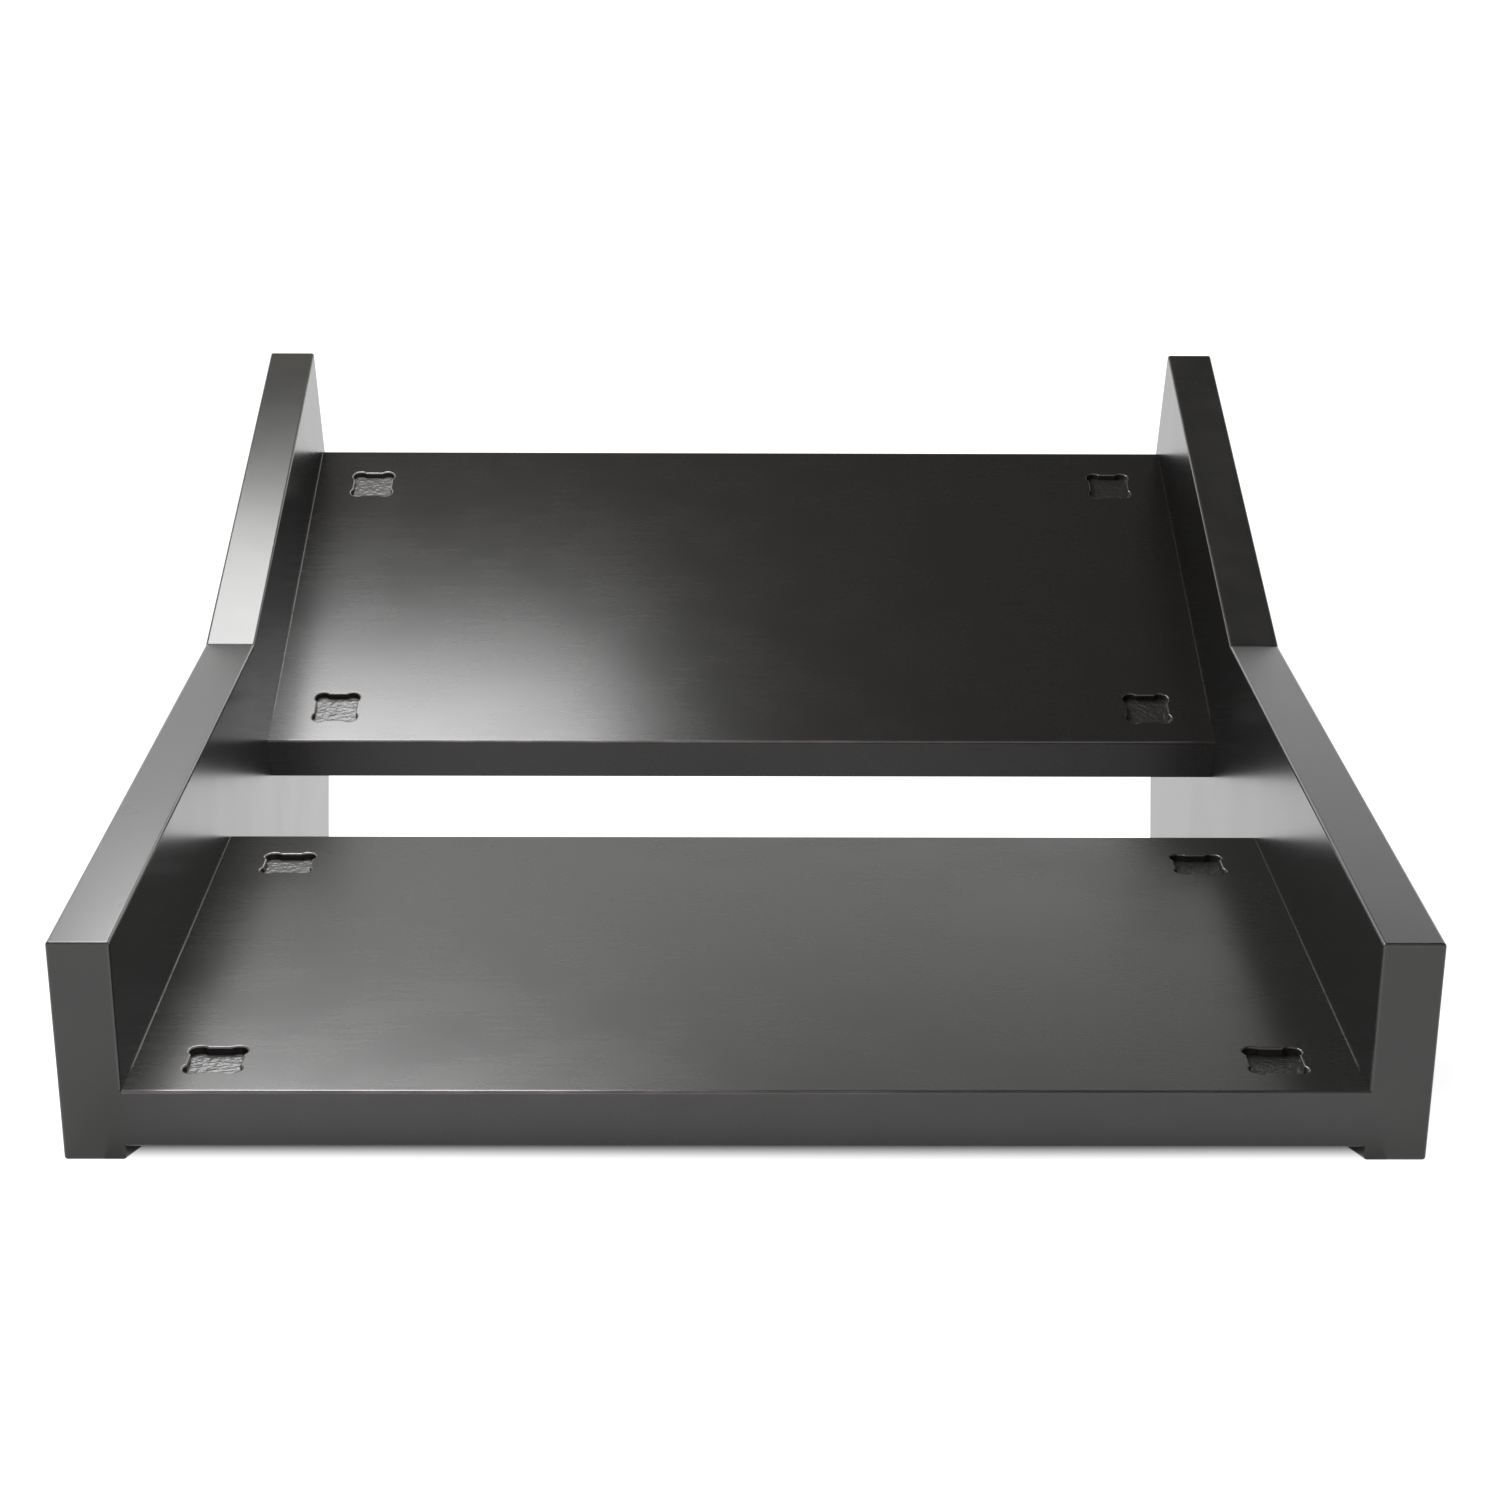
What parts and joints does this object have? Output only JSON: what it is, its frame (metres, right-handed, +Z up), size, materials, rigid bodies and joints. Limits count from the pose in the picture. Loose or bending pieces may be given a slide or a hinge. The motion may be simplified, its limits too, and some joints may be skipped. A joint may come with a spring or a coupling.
{
  "type": "synthesizer stand",
  "caption": "Desktop stand with two shelves tilted 20 and 40 degrees between two tall bent side panels, with routed pockets for the feet of small synthesizers.",
  "frame": {"origin": "on the desk, under the middle of the stand's width and depth", "axes": "+X to the right as seen from the front, +Y to the back, +Z up"},
  "size_m": [0.393, 0.4378, 0.2782],
  "materials": {
    "black_lacquer": "black satin lacquer on fibreboard",
    "beech": "plain turned beech"
  },
  "bodies": {
    "root": {"left_side_panel": "black_lacquer", "right_side_panel": "black_lacquer", "lower_shelf": "black_lacquer", "upper_shelf": "black_lacquer", "dowels_lower_left": "beech", "dowels_lower_right": "beech", "dowels_upper_left": "beech", "dowels_upper_right": "beech"}
  },
  "joints": []
}
